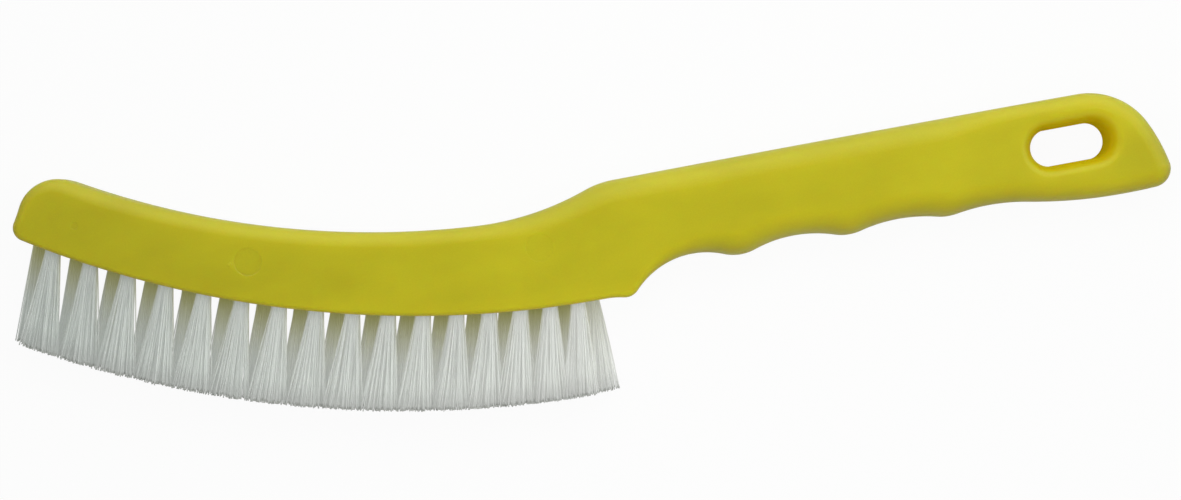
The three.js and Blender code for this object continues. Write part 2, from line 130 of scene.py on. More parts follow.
# Tufts
PITCH_RATIO = 0.7  # pitch at the heel as a share of the pitch at the toe
HEEL_LEAN = math.radians(8)  # tufts lean towards the toe, from square to the grip
TOE_LEAN = math.radians(17)
LEAN_SETTLING = 4  # power with which the lean settles towards the toe
TIP_OVERLAP = 1.15  # how much the tips of a tuft reach beyond half their pitch
TOE_FANS = {"upper": 5.4 * MM, "lower": 3.0 * MM}  # most that the tufts of a row spread towards the toe
FREE_FAN = 6.4 * MM  # fan of the last lower tuft at the heel, on its free side
GOLDEN_ANGLE = math.pi * (3 - math.sqrt(5))
ROOT_SHARE = 0.2  # share of a filament that is inside its hole
FILAMENT_SIDES = 5
FILAMENT_STEPS = 5
TIP_SPREAD = 0.7 * MM  # how far tips stray from an even fan
TRIM_ERROR = 0.4 * MM  # how far tips stray from an even trim
BEND = 0.25 * MM  # most that a filament bows
ROW_SEED_STEP = 100  # between the seeds of the two rows

# Tints of the filaments, and painted shade with painted bounce light at their roots
SHADE_SHARE = 0.8  # of the unevenness that lies between filaments and not along them
INNER_REACH = 6 * MM  # painted shade and painted yellow bounce light fall on filaments nearer than this to the middle of the width
INNER_FADE = 2 * MM  # depth over which that painted shade comes up
ROOT_FADE = 1.45  # how fast that painted shade fades along a filament
ROOT_POWER = 2.0  # how much of the fading is close to the root
FREE_ROOT_SHADE = 0.3  # share of that painted shade on the last lower tuft, which no upper tuft shades
TIP_FADE = 30.0  # the last part in so many of a filament takes on the colour of the cut end

# Finish of the plastic, with painted shade and painted glow in its slot
FLOW_STRETCH = (0.45, 1.0, 1.0)  # tones are drawn out along the grip, as the plastic flowed
TONE_CONTRAST = 2.4
FINE_SHARE = 0.5  # of the mottling that is as fine as the grain
GLOSS = 0.6
SLOT_PAINTED_GLOW = 0.14  # painted glow: the walls of the slot give off light of their own, like light bounced inside the plastic
SLOT_SHADE_START = 0.2  # where the painted shade, glow and loss of gloss start on the lip of the slot, as a share of the lip
SLOT_SHADE_DEPTH = 0.5  # share of the lip over which that painted shade and glow grow

DULL_STEEL = 0.7  # darkest places of the anchor wire, as a share of its colour

# Camera and studio
CAMERA_BEFORE_END = 145.88 * MM
CAMERA_ABOVE_HEEL = 13.19 * MM
SENSOR_WIDTH = 36.0
FLOOR_HALF = 10.0
FLOOR_SEEN = 0.95  # share of plain white in the floor as the camera sees it
FLOOR_MIRRORED = 0.15  # share of plain white in the floor as gloss and glass show it
SIDE = (0.5, 0.87)  # where the studio is brightest
OVERHEAD_SHARE = 0.5  # of the ambient light that is missing overhead
OVERHEAD_POWER = 4.0  # how narrow that place is
SOFT_BOX_SIZE = 0.3
SOFT_BOX_PLACE = (0.06, 0.05, 0.28)

UP = (0.0, 0.0, 1.0)
WHITE = (1.0, 1.0, 1.0, 1.0)
BLACK = (0.0, 0.0, 0.0, 1.0)


def linear(code):
    """A colour's linear values with alpha, from its web code"""
    shares = [int(code[i : i + 2], 16) / 255 for i in (1, 3, 5)]
    return (*(c / 12.92 if c <= 0.04045 else ((c + 0.055) / 1.055) ** 2.4 for c in shares), 1.0)


def length(name, default, description):
    return FloatProperty(
        name=name, description=description, default=default, min=0.0, precision=5, unit="LENGTH"
    )


def share(name, default, description):
    return FloatProperty(
        name=name, description=description, default=default, min=0.0, max=1.0, subtype="FACTOR"
    )


def strength(name, default, description):
    return FloatProperty(name=name, description=description, default=default, min=0.0)


def tint(name, code, description):
    return FloatVectorProperty(
        name=name, description=description, default=linear(code), size=4, min=0.0, max=1.0, subtype="COLOR"
    )


class HandleSettings(PropertyGroup):
    width: length("Width", HANDLE_HIGH.z - HANDLE_LOW.z, "Between the two flat sides")
    face_radius: length("Face radius", 263 * MM, "Bow of the face that holds the bristles")
    face_length: length("Face length", 151.5 * MM, "From the heel to the corner at the toe, along the bow")
    head_depth: length("Head depth", 23.2 * MM, "Back of the head above the heel, where it is lowest")
    toe_depth: length("Toe depth", 17.9 * MM, "Back of the head above the face at the toe")
    shoulder_rise: length("Shoulder rise", 5.8 * MM, "Back of the grip above the back of the head")
    grip_height: length("Grip height", 24.25 * MM, "From the back of the grip to the finger crests")
    end_reach: length("End reach", 144.8 * MM, "Hanging end beyond the heel")
    slot_length: length("Slot length", 20 * MM, "Length of the hanging slot")
    slot_width: length("Slot width", 9.2 * MM, "Width of the hanging slot")
    slot_lip: length("Slot lip", 3.6 * MM, "Rounding of the rim of the slot")
    hole_diameter: length("Hole diameter", 4 * MM, "Diameter of the hole for a tuft")
    hole_depth: length("Hole depth", 11 * MM, "Depth of the hole for a tuft")
    colour: tint("Plastic", "#c7be14", "Colour of the moulded plastic")
    deep_colour: tint("Plastic, deep", "#afa604", "Colour where the plastic is a little richer")
    # Painted shade and painted bounce light: a darker, more orange colour on the walls of the slot, which
    # also glow in it
    slot_shade_and_glow_colour: tint("Plastic, sheltered", "#bfa608", "Colour of the walls of the slot")
    roughness: share("Roughness", 0.4, "Roughness of the moulded surface")


class BristleSettings(PropertyGroup):
    upper_tufts: IntProperty(name="Upper tufts", description="Tufts of the upper row", default=16, min=2)
    row_land: length("Row land", 6 * MM, "Plastic between the holes of the two rows")
    heel_margin: length("Heel margin", 7.1 * MM, "From the heel to the first upper tuft")
    toe_margin: length("Toe margin", 11.3 * MM, "From the last upper tuft to the corner at the toe")
    heel_trim: length("Heel trim", 22.9 * MM, "Tips below the face at the heel")
    toe_trim: length("Toe trim", 24.5 * MM, "Tips below the face at the toe")
    filaments: IntProperty(name="Filaments", description="Filaments of a tuft", default=150, min=1, max=300)
    filament_diameter: length("Filament diameter", 0.3 * MM, "Thickness of a nylon filament")
    fan: length("Fan", 4.4 * MM, "Most that a tuft spreads towards the heel at its tips")
    cross_fan: length("Cross fan", 3.9 * MM, "Spread of the tips across the brush")
    seed: IntProperty(name="Seed", description="Seed of everything random in the tufts", default=7)
    colour: tint("Nylon", "#e0e2de", "Colour of the lightest filaments")
    shaded_colour: tint("Nylon, shaded", "#d3d4d1", "Colour of the darkest filaments")
    # Painted shade: this colour darkens the tufts more and more towards the toe, where less light reaches
    # them
    toe_painted_shade: tint("Nylon, toe", "#e8eceb", "Tint of the tufts at the toe, which are a little greyer")
    # Painted glow: the nylon gives off light of its own at this strength, which brightens filaments in
    # shade as translucency would
    painted_glow: share("Glow", 0.18, "Light that the translucent nylon passes on")
    # Painted shade and painted bounce light: this olive colour goes on the roots of filaments that the
    # upper row and the head shade, as light bounced off the yellow plastic would colour them
    root_painted_shade: tint("Nylon, root", "#abaa69", "Colour that the plastic lends to the roots")
    tip_colour: tint("Nylon, tip", "#84877f", "Colour of the cut ends")
    roughness: share("Roughness", 0.38, "Roughness of the filaments")


class AnchorSettings(PropertyGroup):
    colour: tint("Steel", "#a9adb0", "Colour of the anchor wire")
    roughness: share("Roughness", 0.32, "Roughness of the anchor wire")


class StageSettings(PropertyGroup):
    camera_height: length("Camera height", 800 * MM, "Camera above the middle of the brush")
    camera_turn: FloatProperty(
        name="Camera turn",
        description="How far the camera is turned against the grip",
        default=math.radians(-10.44),
        unit="ROTATION",
    )
    lens: FloatProperty(name="Lens", description="Focal length", default=97.15, unit="CAMERA")
    soft_power: FloatProperty(
        name="Soft power", description="Power of the soft box", default=0.71, unit="POWER"
    )
    ambient: strength("Ambient", 0.35, "Light from all sides")
    side: strength("Side", 0.95, "Light added on the side of the back")
    side_colour: tint("Side colour", "#ecfff0", "Colour of the light on the side of the back")
    floor: tint("Floor", "#cdcdcb", "Colour of the floor")


# Arcs of the side view


@dataclass
class Arc:
    """A stretch of an outline, with complex numbers as points. Walking along it keeps the plastic on the
    left, and turn is 1 where it bends to the left and -1 where it bends to the right."""

    centre: complex
    radius: float
    turn: int = 1
    edge: float = 0.0

    def at(self, angle):
        return self.centre + cmath.rect(self.radius, angle)

    def towards(self, place):
        return self.at(cmath.phase(place - self.centre))

    def inside(self, angle, radius):
        """An arc that touches this one from inside at an angle"""
        return replace(self, centre=self.at(angle) - cmath.rect(radius, angle), radius=radius)

    def moved_left(self, distance):
        return replace(self, radius=self.radius - self.turn * distance)

    def exit_from(self, place, way):
        """How far a line from a place runs before it leaves the arc's circle"""
        offset = place - self.centre
        slope = (offset * way.conjugate()).real
        return math.sqrt(slope**2 - abs(offset) ** 2 + self.radius**2) - slope


def crossing(a, b, near):
    """The point where two arcs' circles cross, the one closer to a place"""
    between = b.centre - a.centre
    distance = abs(between)
    reach = (distance**2 + a.radius**2 - b.radius**2) / (2 * distance)
    half = math.sqrt(a.radius**2 - reach**2)
    both = [a.centre + between / distance * complex(reach, side * half) for side in (1, -1)]
    return min(both, key=lambda point: abs(point - near))


@dataclass
class Outline:
    """Points, inward normals and rounding of the long edges along a closed outline"""

    points: np.ndarray
    inward: np.ndarray
    edge: np.ndarray


def walk(arc, start, end, edges, with_end=False):
    """Points of an arc, their inward normals, the rounding there and the most that it may be"""
    first = cmath.phase(start - arc.centre)
    sweep = (cmath.phase(end - arc.centre) - first) * arc.turn % (2 * math.pi)
    step = min(math.sqrt(8 * arc.radius * CHORD_ERROR), LONGEST_STEP)
    count = math.ceil(sweep * arc.radius / step)
    shares = np.arange(count + with_end) / count
    outward = np.exp(1j * (first + arc.turn * sweep * shares))
    limit = np.full(shares.shape, EDGE_SHARE * arc.radius if arc.turn > 0 else math.inf)
    edge = np.minimum(limit, edges[0] + (edges[1] - edges[0]) * shares)
    return arc.centre + arc.radius * outward, -arc.turn * outward, edge, limit


def flowing(points, edge, limit):
    """Rounding averaged along the outline, so that it flows from one leg into the next"""
    steps = abs(np.roll(points, -1) - points)
    place = np.concatenate([[0], np.cumsum(steps)])
    total = np.concatenate([[0], np.cumsum(edge * steps)])

    def sum_to(where):
        laps, rest = np.divmod(where, place[-1])
        return laps * total[-1] + np.interp(rest, place, total)

    middle = place[:-1]
    nearby = sum_to(middle + EDGE_BLEND / 2) - sum_to(middle - EDGE_BLEND / 2)
    return np.minimum(limit, nearby / EDGE_BLEND)


def face_arc(handle):
    return Arc(1j * handle.face_radius, handle.face_radius, edge=FACE_EDGE)


def handle_legs(handle):
    """The arcs of the handle's outline, and how each goes over into the next: at a point where the two
    already touch, or through a round corner, given by its radius, its turn and a place near it"""
    grip_top = handle.head_depth + handle.shoulder_rise
    crest_y = grip_top - handle.grip_height
    face = face_arc(handle)
    toe_angle = handle.face_length / handle.face_radius
    toe_corner = face.at(-math.pi / 2 - toe_angle)
    toe_back = toe_corner + (face.centre - toe_corner) * (handle.toe_depth / handle.face_radius)
    heel = Arc(complex(HEEL_REACH, HEEL_CORNER - HEEL_FOOT), HEEL_CORNER, edge=FACE_EDGE)
    crests = [Arc(complex(x, crest_y + CREST_RADIUS), CREST_RADIUS, edge=FINGER_EDGE) for x in CREST_PLACES]
    belly_y = crest_y - BELLY_DROP
    belly_middle = complex(handle.end_reach - BELLY_INSET, belly_y + BELLY_RADIUS)
    belly = Arc(belly_middle, BELLY_RADIUS, edge=END_EDGE)
    end = Arc(complex(handle.end_reach - END_BOW, END_BOW_Y), END_BOW, edge=END_EDGE)
    grip_back = Arc(complex(GRIP_BOW_X, grip_top - GRIP_BOW), GRIP_BOW, edge=GRIP_BACK_EDGE)
    tail_back = replace(grip_back, edge=TAIL_BACK_EDGE)
    tail_joint = grip_back.at(math.acos((handle.end_reach - TAIL_BACK_INSET - GRIP_BOW_X) / GRIP_BOW))
    shoulder_angle = math.acos((SHOULDER_X - GRIP_BOW_X) / GRIP_BOW)
    shoulder = grip_back.inside(shoulder_angle, SHOULDER_RADIUS)
    back_low = complex(BACK_LOW_X, handle.head_depth)
    back_radius = abs(toe_back - back_low) ** 2 / (2 * (toe_back - back_low).imag)
    head_back = Arc(back_low + 1j * back_radius, back_radius, -1, HEAD_BACK_EDGE)
    hollow_middle = toe_corner + cmath.rect(TOE_HOLLOW, math.pi - toe_angle - TOE_RAKE)
    toe = Arc(hollow_middle, TOE_HOLLOW, -1, TOE_EDGE)

    bumps = [heel, *crests, belly]
    grooves = [
        (radius, -1, complex((a.centre + b.centre).real / 2, crest_y - radius))
        for radius, a, b in zip(GROOVE_RADII, bumps, bumps[1:])
    ]
    legs = [face, *bumps, end, tail_back, grip_back, shoulder, head_back, toe]
    corners = [
        (HEEL_BLEND, -1, complex(0, -HEEL_BLEND)),
        *grooves,
        (TAIL_CORNER, 1, complex(handle.end_reach, belly_y)),
        (END_NOSE, 1, complex(handle.end_reach - END_NOSE, grip_top - END_NOSE)),
        tail_joint,
        grip_back.at(shoulder_angle),
        (NECK_RADIUS, -1, back_low + 1j * NECK_RADIUS),
        (TOE_NOSE, 1, toe_back),
        (TOE_LIP, 1, toe_corner),
    ]
    return legs, corners


def handle_outline(handle):
    """The handle's outline and the number of steps that its first leg, the face, takes"""
    legs, corners = handle_legs(handle)
    rounds = []
    for leg, follower, corner in zip(legs, legs[1:] + legs[:1], corners):
        if isinstance(corner, complex):
            rounds.append((None, corner, corner))
            continue
        radius, turn, near = corner
        middle = crossing(leg.moved_left(turn * radius), follower.moved_left(turn * radius), near)
        rounds.append((Arc(middle, radius, turn), leg.towards(middle), follower.towards(middle)))
    runs = []
    for i, leg in enumerate(legs):
        round_corner, leave, enter = rounds[i]
        runs.append(walk(leg, rounds[i - 1][2], leave, (leg.edge, leg.edge)))
        if round_corner:
            runs.append(walk(round_corner, leave, enter, (leg.edge, legs[(i + 1) % len(legs)].edge)))
    points, inward, edge, limit = (np.concatenate(column) for column in zip(*runs))
    return Outline(points, inward, flowing(points, edge, limit)), len(runs[0][0])


def slot_outline(handle, around):
    """The slot's outline, which runs the other way round. Its lip is limited by the room beside it."""
    grip_top = handle.head_depth + handle.shoulder_rise
    middle = complex(handle.end_reach - SLOT_INSET, grip_top - SLOT_DROP)
    radius = handle.slot_width / 2
    half = handle.slot_length / 2 - radius
    offset = around.points - middle
    room = abs(offset - np.clip(offset.real, -half, half)) - radius - around.edge
    lip = min(handle.slot_lip, SLOT_SHARE * room.min())
    runs = []
    for side in (1, -1):
        end = Arc(middle + side * half, radius, -1)
        start = end.centre + 1j * side * radius
        runs.append(walk(end, start, start - 2j * side * radius, (lip, lip), with_end=True))
    points, inward, edge, _ = (np.concatenate(column) for column in zip(*runs))
    return Outline(points, inward, edge)


# Surfaces


class Shell:
    """Points, as x, y and height, and faces of a closed surface while it is made"""

    def __init__(self):
        self.points = []
        self.faces = []

    def ring(self, places, heights):
        """Adds points at places in the side view, which are complex numbers; returns their numbers"""
        first = len(self.points)
        places, heights = np.broadcast_arrays(places, heights)
        self.points.extend(zip(places.real, places.imag, heights))
        return list(range(first, len(self.points)))

    def strip(self, upper, lower, gap=range(0)):
        """Faces between two rings of as many points, apart from a gap"""
        for i in range(len(upper)):
            k = (i + 1) % len(upper)
            if i not in gap:
                self.faces.append((lower[i], lower[k], upper[k], upper[i]))

    def fill(self, loops, flat, turned=False):
        """Triangles between the first loop, a rim, and the round holes in it, worked out on flat places"""
        numbers = [n for loop in loops for n in loop]
        owners = [i for i, loop in enumerate(loops) for _ in loop]
        edges = []
        for loop in loops:
            first = len(edges)
            edges.extend((first + i, first + (i + 1) % len(loop)) for i in range(len(loop)))
        places = [flat(*self.points[n]) for n in numbers]
        _, _, triangles, origins, _, _ = delaunay_2d_cdt(places, edges, [], FILL_INSIDE, FILL_ERROR)
        for triangle in triangles:
            corners = [origins[n][0] for n in triangle]
            owner = {owners[corner] for corner in corners}
            if len(owner) > 1 or owner == {0}:
                face = tuple(numbers[corner] for corner in corners)
                self.faces.append(face[::-1] if turned else face)

    def mesh(self, name, shift):
        """The mesh. Its normals follow the larger of the faces round a point, so flat sides stay flat."""
        mesh = bpy.data.meshes.new(name)
        mesh.from_pydata(np.array(self.points) + shift, [], self.faces)
        mesh.shade_smooth()
        mesh.calc_loop_triangles()
        corners = np.zeros(len(mesh.loop_triangles) * 3, int)
        mesh.loop_triangles.foreach_get("vertices", corners)
        corners = corners.reshape(-1, 3)
        places = np.array(self.points)[corners]
        spans = np.cross(places[:, 1] - places[:, 0], places[:, 2] - places[:, 0])
        normals = np.zeros((len(self.points), 3))
        for column in corners.T:
            np.add.at(normals, column, spans)
        normals /= np.linalg.norm(normals, axis=1, keepdims=True)
        mesh.normals_split_custom_set_from_vertices(normals)
        return mesh


def add_slab(shell, outline, width, depth, gap=range(0)):
    """Wall round an outline with rounded edges that go down to a depth, and a parting ridge that stops at
    the gap; returns its rings"""
    quarter = np.linspace(math.pi / 2, 0, EDGE_STEPS + 1)
    ridge = np.full(len(outline.points), RIDGE_HEIGHT)
    if len(gap):
        ridge[gap.start : gap.stop + 1] = 0
    rings = []
    for side, angles in ((1, quarter), (-1, quarter[::-1])):
        for angle in angles:
            places = outline.points + outline.inward * outline.edge * (1 - math.cos(angle))
            rings.append(shell.ring(places, side * (width / 2 - depth * (1 - math.sin(angle)))))
        if side > 0:
            for height, proud in ((RIDGE_WIDTH / 2, 0), (0, ridge), (-RIDGE_WIDTH / 2, 0)):
                rings.append(shell.ring(outline.points - outline.inward * proud, height))
    wall = range(EDGE_STEPS, len(rings) - EDGE_STEPS - 1)
    for i, (upper, lower) in enumerate(zip(rings, rings[1:])):
        shell.strip(upper, lower, gap if i in wall else range(0))
    return rings


def circle(sides):
    return np.exp(2j * math.pi * np.arange(sides) / sides)


def add_mark(shell, place, radius, depth, height):
    """A round mark with a soft wall, sunk into the upper side; returns its rim"""
    rings = [
        shell.ring(place + circle(MARK_SIDES) * (radius + MARK_WALL * (0.5 - sunk)), height - depth * sunk)
        for sunk in (0.0, 0.5, 1.0)
    ]
    for outer, inner in zip(rings, rings[1:]):
        shell.strip(inner, outer)
    shell.faces.append(tuple(rings[-1]))
    return rings[0]


def add_hole(shell, tuft, handle):
    """The blind hole of a tuft; returns its mouth"""
    face = face_arc(handle)
    radius = handle.hole_diameter / 2
    rings = []
    for reach, depth in ((radius + HOLE_CHAMFER, 0), (radius, HOLE_CHAMFER), (radius, handle.hole_depth)):
        spokes = circle(HOLE_SIDES) * reach
        starts = tuft.mouth + tuft.side * spokes.real
        to_face = np.array([face.exit_from(start, tuft.out) for start in starts])
        if depth == handle.hole_depth:
            to_face[:] = 0
        rings.append(shell.ring(starts + tuft.out * (to_face - depth), tuft.height + spokes.imag))
    for outer, inner in zip(rings, rings[1:]):
        shell.strip(inner, outer)
    shell.faces.append(tuple(rings[-1]))
    return rings[0]


# Tufts


@dataclass
class Tuft:
    """Mouth of a tuft's hole in the side view, its height, and the ways that it points and spreads"""

    mouth: complex
    height: float
    side: complex
    reach: float  # to the trimmed tips
    slope: float  # how the reach grows to the side

    @property
    def out(self):
        return -1j * self.side


def tuft_at(step, height, handle, bristles):
    """The tuft a number of steps from the heel, where the pitch widens smoothly from heel to toe"""
    narrowing = 1 - PITCH_RATIO
    u = step / (bristles.upper_tufts - 1)
    gone = (u - narrowing * (1 - (1 - u) ** 3) / 3) / (1 - narrowing / 3)
    last = handle.face_length - bristles.toe_margin
    along = bristles.heel_margin + gone * (last - bristles.heel_margin)
    mouth = face_arc(handle).at(-math.pi / 2 - along / handle.face_radius)
    to_toe = 1 - along / handle.face_length
    lean = TOE_LEAN + (HEEL_LEAN - TOE_LEAN) * to_toe**LEAN_SETTLING
    side = cmath.rect(1, -lean)
    toe_angle = handle.face_length / handle.face_radius
    tips_x = (bristles.heel_trim - bristles.toe_trim) / math.sin(toe_angle)
    tips = Arc(complex(tips_x, handle.face_radius), handle.face_radius + bristles.heel_trim)
    reach = tips.exit_from(mouth, -1j * side)
    slope = (tips.exit_from(mouth + side * MM, -1j * side) - reach) / MM
    return Tuft(mouth, height, side, reach, slope)


def tuft_rows(handle, bristles):
    """The two rows of tufts by name. The lower has one more, half a pitch out of step."""
    offset = (handle.hole_diameter + bristles.row_land) / 2
    upper = [tuft_at(i, offset, handle, bristles) for i in range(bristles.upper_tufts)]
    lower = [tuft_at(i - 0.5, -offset, handle, bristles) for i in range(bristles.upper_tufts + 1)]
    return {"upper": upper, "lower": lower}


def handle_shift(outline, width):
    """From the side view's own origin to the place of the handle in the frame"""
    return np.array(
        [HANDLE_HIGH.x - outline.points.real.max(), HANDLE_LOW.y - outline.points.imag.min(), width / 2]
    )


def tuft_fans(tufts, toe_fan, heel_fan, free_heel):
    """How far each tuft spreads towards the toe and towards the heel"""
    tips = [tuft.mouth + tuft.out * tuft.reach for tuft in tufts]
    spaces = [abs(b - a) / 2 * TIP_OVERLAP for a, b in zip(tips, tips[1:])]
    towards_toe = [min(toe_fan, space) for space in [*spaces, toe_fan]]
    towards_heel = [min(heel_fan, space) for space in [heel_fan, *spaces]]
    towards_heel[0] = free_heel
    return towards_toe, towards_heel


# Node trees


class Field:
    """A value in a node tree, which can be reckoned with like a number"""

    def __init__(self, tree, socket):
        self.tree = tree
        self.socket = socket

    def reckon(self, operation, *others):
        node = self.tree.nodes.new("ShaderNodeMath")
        node.operation = operation
        for socket, value in zip(node.inputs, (self, *others)):
            plug(self.tree, socket, value)
        return Field(self.tree, node.outputs[0])

    def __add__(self, other):
        return self.reckon("ADD", other)

    def __sub__(self, other):
        return self.reckon("SUBTRACT", other)

    def __mul__(self, other):
        return self.reckon("MULTIPLY", other)

    def __truediv__(self, other):
        return self.reckon("DIVIDE", other)


def plug(tree, socket, value):
    """Links a value to a socket, or sets it there"""
    if isinstance(value, Field):
        tree.links.new(value.socket, socket)
    else:
        socket.default_value = value


def shown(sockets, key):
    """The socket of that name that the node's settings show"""
    return next(socket for socket in sockets if socket.enabled and socket.name == key)


def node(tree, kind, settings=None, out=None, **values):
    """Adds a node and returns one of its outputs. Names of sockets are written with _ for a space."""
    made = tree.nodes.new(kind)
    for key, value in (settings or {}).items():
        setattr(made, key, value)
    for key, value in values.items():
        plug(tree, shown(made.inputs, key.replace("_", " ")), value)
    return Field(tree, shown(made.outputs, out) if out else made.outputs[0])


def vector_math(tree, operation, *values):
    made = tree.nodes.new("ShaderNodeVectorMath")
    made.operation = operation
    sockets = [socket for socket in made.inputs if socket.enabled]
    for socket, value in zip(sockets, values):
        plug(tree, socket, value)
    return Field(tree, shown(made.outputs, "Vector"))


def components(tree, vector):
    """X, Y and Z of a vector"""
    made = tree.nodes.new("ShaderNodeSeparateXYZ")
    plug(tree, made.inputs[0], vector)
    return [Field(tree, socket) for socket in made.outputs]


def new_tree(name, kind, inputs, outputs):
    """A node group with named sockets; returns it with its inputs as fields and its output node"""
    tree = bpy.data.node_groups.new(name, kind)
    for socket_name, socket_type in inputs:
        tree.interface.new_socket(socket_name, in_out="INPUT", socket_type=socket_type)
    for socket_name, socket_type in outputs:
        tree.interface.new_socket(socket_name, in_out="OUTPUT", socket_type=socket_type)
    start = tree.nodes.new("NodeGroupInput")
    end = tree.nodes.new("NodeGroupOutput")
    fields = {socket_name: Field(tree, start.outputs[socket_name]) for socket_name, _ in inputs}
    return tree, fields, end


def tuft_tree():
    """Geometry nodes that plant the filaments of a row: a mesh of mouths comes in, bristles come out"""
    kinds = {
        "Geometry": "NodeSocketGeometry",
        "Filaments": "NodeSocketInt",
        "Filament radius": "NodeSocketFloat",
        "Hole radius": "NodeSocketFloat",
        "Cross fan": "NodeSocketFloat",
        "Tip spread": "NodeSocketFloat",
        "Trim error": "NodeSocketFloat",
        "Bend": "NodeSocketFloat",
        "Seed": "NodeSocketInt",
        "Nylon": "NodeSocketMaterial",
    }
    results = [("Geometry", "NodeSocketGeometry")]
    tree, given, end = new_tree("plant_tufts", "GeometryNodeTree", kinds.items(), results)

    def stored(geometry, name, value, data_type="FLOAT"):
        settings = {"data_type": data_type, "domain": "POINT"}
        kind = "GeometryNodeStoreNamedAttribute"
        return node(tree, kind, settings, Geometry=geometry, Name=name, Value=value)

    def named(name, data_type="FLOAT"):
        settings = {"data_type": data_type}
        return node(tree, "GeometryNodeInputNamedAttribute", settings, "Attribute", Name=name)

    def chance(low, high, draw):
        settings = {"data_type": "FLOAT"}
        seed = given["Seed"] + draw
        return node(tree, "FunctionNodeRandomValue", settings, "Value", Min=low, Max=high, Seed=seed)

    mouths = stored(given["Geometry"], "mouth", node(tree, "GeometryNodeInputPosition"), "FLOAT_VECTOR")
    mouths = stored(mouths, "turn", chance(0.0, 2 * math.pi, 0))
    copies = tree.nodes.new("GeometryNodeDuplicateElements")
    copies.domain = "POINT"
    plug(tree, copies.inputs["Geometry"], mouths)
    plug(tree, copies.inputs["Amount"], given["Filaments"])
    points = Field(tree, copies.outputs["Geometry"])
    number = Field(tree, copies.outputs["Duplicate Index"])

    # Places in a round hole, on a spiral that fills it evenly
    angle = number * GOLDEN_ANGLE + named("turn")
    spread = ((number + 0.5) / given["Filaments"]).reckon("SQRT")
    along = spread * angle.reckon("COSINE")
    across = spread * angle.reckon("SINE")
    heelwards = along.reckon("GREATER_THAN", 0.0)
    fan = named("fan_toe") + (named("fan_heel") - named("fan_toe")) * heelwards
    points = stored(points, "root_along", along * given["Hole radius"])
    points = stored(points, "root_across", across * given["Hole radius"])
    spread_error = given["Tip spread"]
    points = stored(points, "tip_along", along * fan + chance(-1.0, 1.0, 1) * spread_error)
    points = stored(points, "tip_across", across * given["Cross fan"] + chance(-1.0, 1.0, 2) * spread_error)
    points = stored(points, "trim", chance(-1.0, 1.0, 3) * given["Trim error"])
    points = stored(points, "bend", chance(-1.0, 1.0, 4) * given["Bend"])
    points = stored(points, "shade", chance(0.0, 1.0, 5))

    rod = node(
        tree,
        "GeometryNodeMeshCylinder",
        Vertices=FILAMENT_SIDES,
        Side_Segments=FILAMENT_STEPS,
        Radius=given["Filament radius"],
        Depth=1.0,
    )
    rods = node(tree, "GeometryNodeInstanceOnPoints", Points=points, Instance=rod)
    rods = node(tree, "GeometryNodeRealizeInstances", Geometry=rods)

    # Each rod runs from inside its hole, through the mouth, to the trimmed tips
    position = node(tree, "GeometryNodeInputPosition")
    x, y, z = components(tree, vector_math(tree, "SUBTRACT", position, named("mouth", "FLOAT_VECTOR")))
    free = (z + (0.5 - ROOT_SHARE)) / (1 - ROOT_SHARE)
    rods = stored(rods, "free", free)
    fanned = free.reckon("MAXIMUM", 0.0)
    bow = (fanned * math.pi).reckon("SINE") * named("bend")
    root_along, root_across = named("root_along"), named("root_across")
    sideways = root_along + (named("tip_along") - root_along) * fanned + bow + x
    upwards = root_across + (named("tip_across") - root_across) * fanned + bow + y
    outwards = (named("reach") + named("slope") * named("tip_along") + named("trim")) * free
    place = named("mouth", "FLOAT_VECTOR")
    for way, amount in (
        (named("out", "FLOAT_VECTOR"), outwards),
        (named("side", "FLOAT_VECTOR"), sideways),
        (UP, upwards),
    ):
        place = vector_math(tree, "ADD", place, vector_math(tree, "SCALE", way, amount))
    bristles = node(tree, "GeometryNodeSetPosition", Geometry=rods, Position=place)
    bristles = node(tree, "GeometryNodeSetShadeSmooth", Geometry=bristles)
    bristles = node(tree, "GeometryNodeSetMaterial", Geometry=bristles, Material=given["Nylon"])
    plug(tree, end.inputs[0], bristles)
    return tree


# Finishes


def grain_group():
    """Fine unevenness of a surface: a tone that drifts over it and the height of its grain"""
    tree, given, end = new_tree(
        "surface_grain",
        "ShaderNodeTree",
        [("Drift scale", "NodeSocketFloat"), ("Grain scale", "NodeSocketFloat")],
        [("Tone", "NodeSocketFloat"), ("Height", "NodeSocketFloat")],
    )

    def noise(place, scale, detail):
        return node(tree, "ShaderNodeTexNoise", None, "Fac", Vector=place, Scale=scale, Detail=detail)

    place = node(tree, "ShaderNodeTexCoord", out="Object")
    flow = vector_math(tree, "MULTIPLY", place, FLOW_STRETCH)
    drift = noise(flow, given["Drift scale"], 3.0)
    plug(tree, end.inputs["Tone"], within((drift - 0.5) * TONE_CONTRAST + 0.5))
    plug(tree, end.inputs["Height"], noise(place, given["Grain scale"], 2.0))
    return tree


def finish(name, metallic=0.0, ior=1.5):
    """A new material; returns it with its tree and its shader"""
    material = bpy.data.materials.new(name)
    material.use_nodes = True
    tree = material.node_tree
    shader = tree.nodes["Principled BSDF"]
    shader.inputs["Metallic"].default_value = metallic
    shader.inputs["IOR"].default_value = ior
    return material, tree, shader


def grain(tree, drift_scale, grain_scale):
    """The shared grain at its scales; returns its tone and its height"""
    made = tree.nodes.new("ShaderNodeGroup")
    made.node_tree = bpy.data.node_groups.get("surface_grain") or grain_group()
    made.inputs["Drift scale"].default_value = drift_scale
    made.inputs["Grain scale"].default_value = grain_scale
    return Field(tree, made.outputs["Tone"]), Field(tree, made.outputs["Height"])


def blended(tree, factor, first, second, way="MIX"):
    """One colour going over into another, or into their product"""
    settings = {"data_type": "RGBA", "blend_type": way}
    return node(tree, "ShaderNodeMix", settings, "Result", Factor=factor, A=first, B=second)


def attribute(tree, name):
    """A value that is kept on the points of a piece"""
    return node(tree, "ShaderNodeAttribute", {"attribute_name": name}, "Fac")


